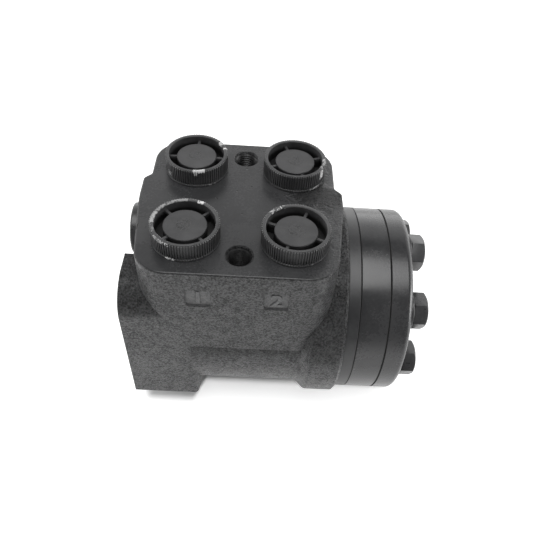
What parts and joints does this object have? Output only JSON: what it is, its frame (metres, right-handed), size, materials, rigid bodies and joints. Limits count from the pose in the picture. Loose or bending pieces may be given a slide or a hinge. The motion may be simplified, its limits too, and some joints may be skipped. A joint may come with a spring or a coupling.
{
  "type": "orbital hydraulic steering unit",
  "caption": "Load-free hydraulic steering unit: cast valve housing with plugged ports, rotary spool and sleeve, and a gerotor set under a screwed end cover.",
  "frame": {"origin": "centre of the mounting face, on the spool's axis", "axes": "+X along the spool's axis from the mounting face to the end cover, +Z out of the port face, +Y to the rear port row"},
  "size_m": [0.1339, 0.095, 0.1152],
  "materials": {
    "housing_paint": "sand-cast texture under satin black paint",
    "gear_set_paint": "satin black paint on turned steel",
    "screw_black": "smooth black oxide and paint",
    "plug_plastic": "matt moulded",
    "seal_rubber": "matt",
    "valve_steel": "ground",
    "spring_steel": "drawn",
    "cage_brass": "stamped"
  },
  "bodies": {
    "housing": {"housing": "housing_paint", "distributor_plate": "gear_set_paint", "gear_ring": "gear_set_paint", "end_cover": "gear_set_paint", "cover_screws": "screw_black", "pin_screw": "screw_black", "screw_washers": "screw_black", "housing_seal": "seal_rubber", "plate_seal": "seal_rubber", "cover_seal": "seal_rubber", "dust_seal": "seal_rubber", "shaft_seal": "seal_rubber", "bearing_outer_race": "valve_steel", "check_seat": "valve_steel", "relief_plug": "screw_black", "relief_washer": "screw_black", "relief_spring": "spring_steel", "relief_seat": "valve_steel"},
    "sleeve": {"sleeve": "valve_steel", "cross_pin": "valve_steel", "spring_ring": "spring_steel", "leaf_springs": "spring_steel", "bearing_inner_race": "valve_steel"},
    "spool": {"spool": "valve_steel"},
    "bearing": {"needle_cage": "cage_brass", "bearing_needles": "valve_steel"},
    "orbit": {"drive_spacer": "valve_steel"},
    "rotor": {"gear_rotor": "valve_steel"},
    "cardan": {"cardan_shaft": "valve_steel"},
    "check_ball": {"check_ball": "valve_steel"},
    "relief_poppet": {"relief_poppet": "valve_steel"},
    "port_plug_front_left": {"port_plug_front_left": "plug_plastic"},
    "port_plug_front_right": {"port_plug_front_right": "plug_plastic"},
    "port_plug_rear_left": {"port_plug_rear_left": "plug_plastic"},
    "port_plug_rear_right": {"port_plug_rear_right": "plug_plastic"}
  },
  "joints": [
    {"name": "steering", "type": "hinge", "parent": "housing", "child": "sleeve", "pos_m": [0, 0, 0], "axis": [1, 0, 0], "continuous": true},
    {"name": "spool_lead", "type": "hinge", "parent": "sleeve", "child": "spool", "pos_m": [0, 0, 0], "axis": [1, 0, 0], "range_deg": [-8, 8], "stiffness_Nm_per_rad": 5, "deforming": ["leaf_springs"]},
    {"name": "bearing_roll", "type": "hinge", "parent": "housing", "child": "bearing", "pos_m": [0, 0, 0], "axis": [1, 0, 0], "continuous": true},
    {"name": "rotor_orbit", "type": "hinge", "parent": "housing", "child": "orbit", "pos_m": [0, 0, 0], "axis": [1, 0, 0], "continuous": true},
    {"name": "rotor_turn", "type": "hinge", "parent": "orbit", "child": "rotor", "pos_m": [0.109, 0.00016, 0.0037], "axis": [1, 0, 0], "continuous": true},
    {"name": "cardan_turn", "type": "hinge", "parent": "orbit", "child": "cardan", "pos_m": [0.038, 0, 0], "axis": [0.9986, 0.0023, 0.052], "continuous": true},
    {"name": "check_ball_lift", "type": "slide", "parent": "housing", "child": "check_ball", "axis": [1, 0, 0], "range_m": [0, 0.0014]},
    {"name": "relief_lift", "type": "slide", "parent": "housing", "child": "relief_poppet", "axis": [-1, 0, 0], "range_m": [0, 0.002], "stiffness_N_per_m": 1000, "springref_m": -0.004, "deforming": ["relief_spring"]},
    {"name": "port_plug_front_left_lift", "type": "slide", "parent": "housing", "child": "port_plug_front_left", "axis": [0, 0, 1], "range_m": [0, 0.03]},
    {"name": "port_plug_front_right_lift", "type": "slide", "parent": "housing", "child": "port_plug_front_right", "axis": [0, 0, 1], "range_m": [0, 0.03]},
    {"name": "port_plug_rear_left_lift", "type": "slide", "parent": "housing", "child": "port_plug_rear_left", "axis": [0, 0, 1], "range_m": [0, 0.03]},
    {"name": "port_plug_rear_right_lift", "type": "slide", "parent": "housing", "child": "port_plug_rear_right", "axis": [0, 0, 1], "range_m": [0, 0.03]}
  ],
  "couplings": [
    {"joint": "bearing_roll", "follows": "steering", "ratio": 0.5},
    {"joint": "rotor_orbit", "follows": "steering", "ratio": -6},
    {"joint": "rotor_turn", "follows": "steering", "ratio": 7},
    {"joint": "cardan_turn", "follows": "steering", "ratio": 7}
  ]
}
